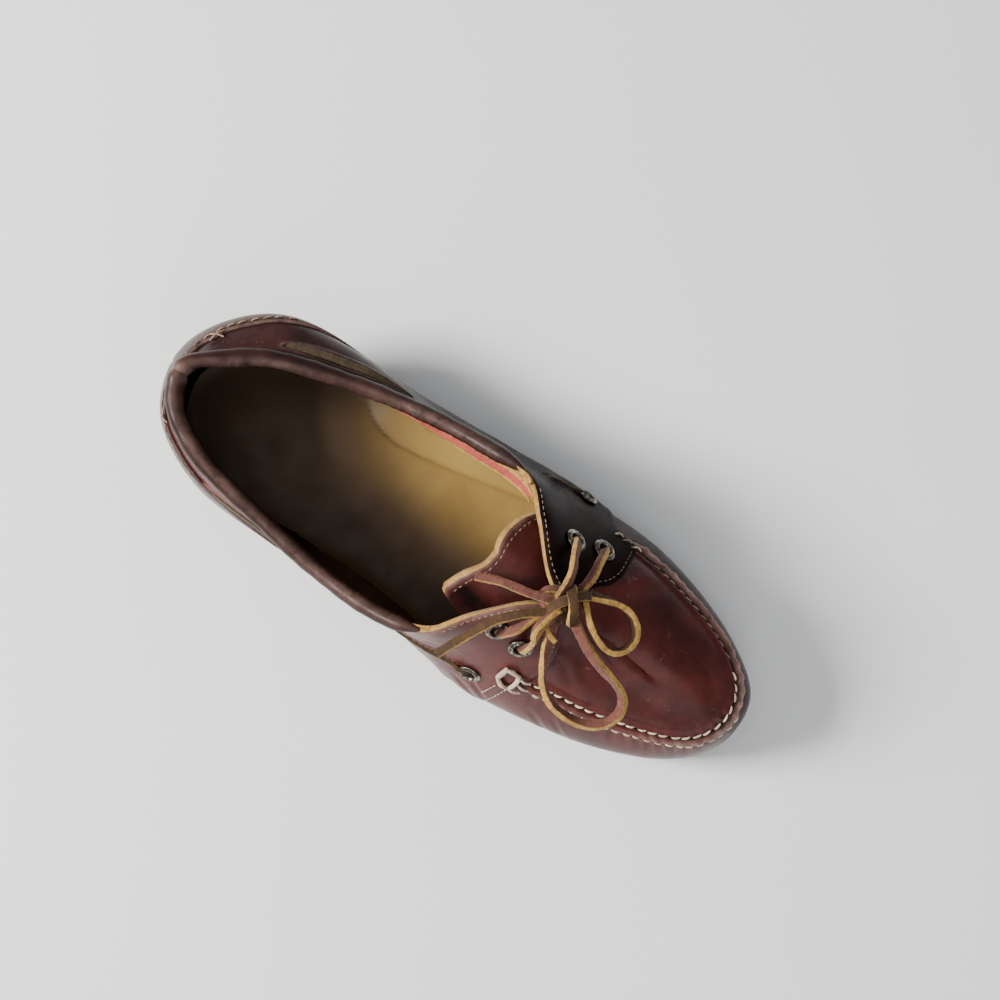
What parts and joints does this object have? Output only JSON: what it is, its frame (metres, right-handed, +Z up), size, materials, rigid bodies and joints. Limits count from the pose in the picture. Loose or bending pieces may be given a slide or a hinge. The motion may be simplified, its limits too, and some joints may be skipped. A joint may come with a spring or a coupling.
{
  "type": "boat shoe",
  "caption": "Low leather boat shoe for the left foot, moccasin toe with raised stitched seam, padded collar, side lacing and a rawhide lace tied in a bow.",
  "frame": {"origin": "on the floor under the middle of the shoe's bounding box, the bow left out", "axes": "toe towards -Y, heel towards +Y, the wearer's left (lateral side) towards +X, +Z up"},
  "size_m": [0.1006, 0.289, 0.0975],
  "materials": {
    "upper_leather": "dark red-brown oiled leather, glossy on the vamp",
    "collar_leather": "red-brown padded leather with worn, lighter edges",
    "footbed_leather": "tan leather, dark and polished at the heel",
    "sole_rubber": "very dark brown rubber",
    "rawhide": "brown rawhide lace with raw tan edges",
    "eyelet_metal": "aged nickel plate"
  },
  "bodies": {
    "root": {"outsole": "sole_rubber", "insole": "footbed_leather", "upper": "upper_leather", "collar": "collar_leather", "tongue": "upper_leather", "eyelet_lateral_rear": "eyelet_metal", "eyelet_lateral_front": "eyelet_metal", "eyelet_medial_rear": "eyelet_metal", "eyelet_medial_front": "eyelet_metal", "eyelet_side_lateral": "eyelet_metal", "eyelet_side_medial": "eyelet_metal", "side_lace_lateral_rear": "rawhide", "side_lace_lateral_front": "rawhide", "side_lace_medial_rear": "rawhide", "side_lace_medial_front": "rawhide", "lace_crossing": "rawhide", "lace_knot": "rawhide", "lace_loop_long": "rawhide", "lace_loop_short": "rawhide", "lace_end_up": "rawhide", "lace_end_side": "rawhide"}
  },
  "joints": []
}
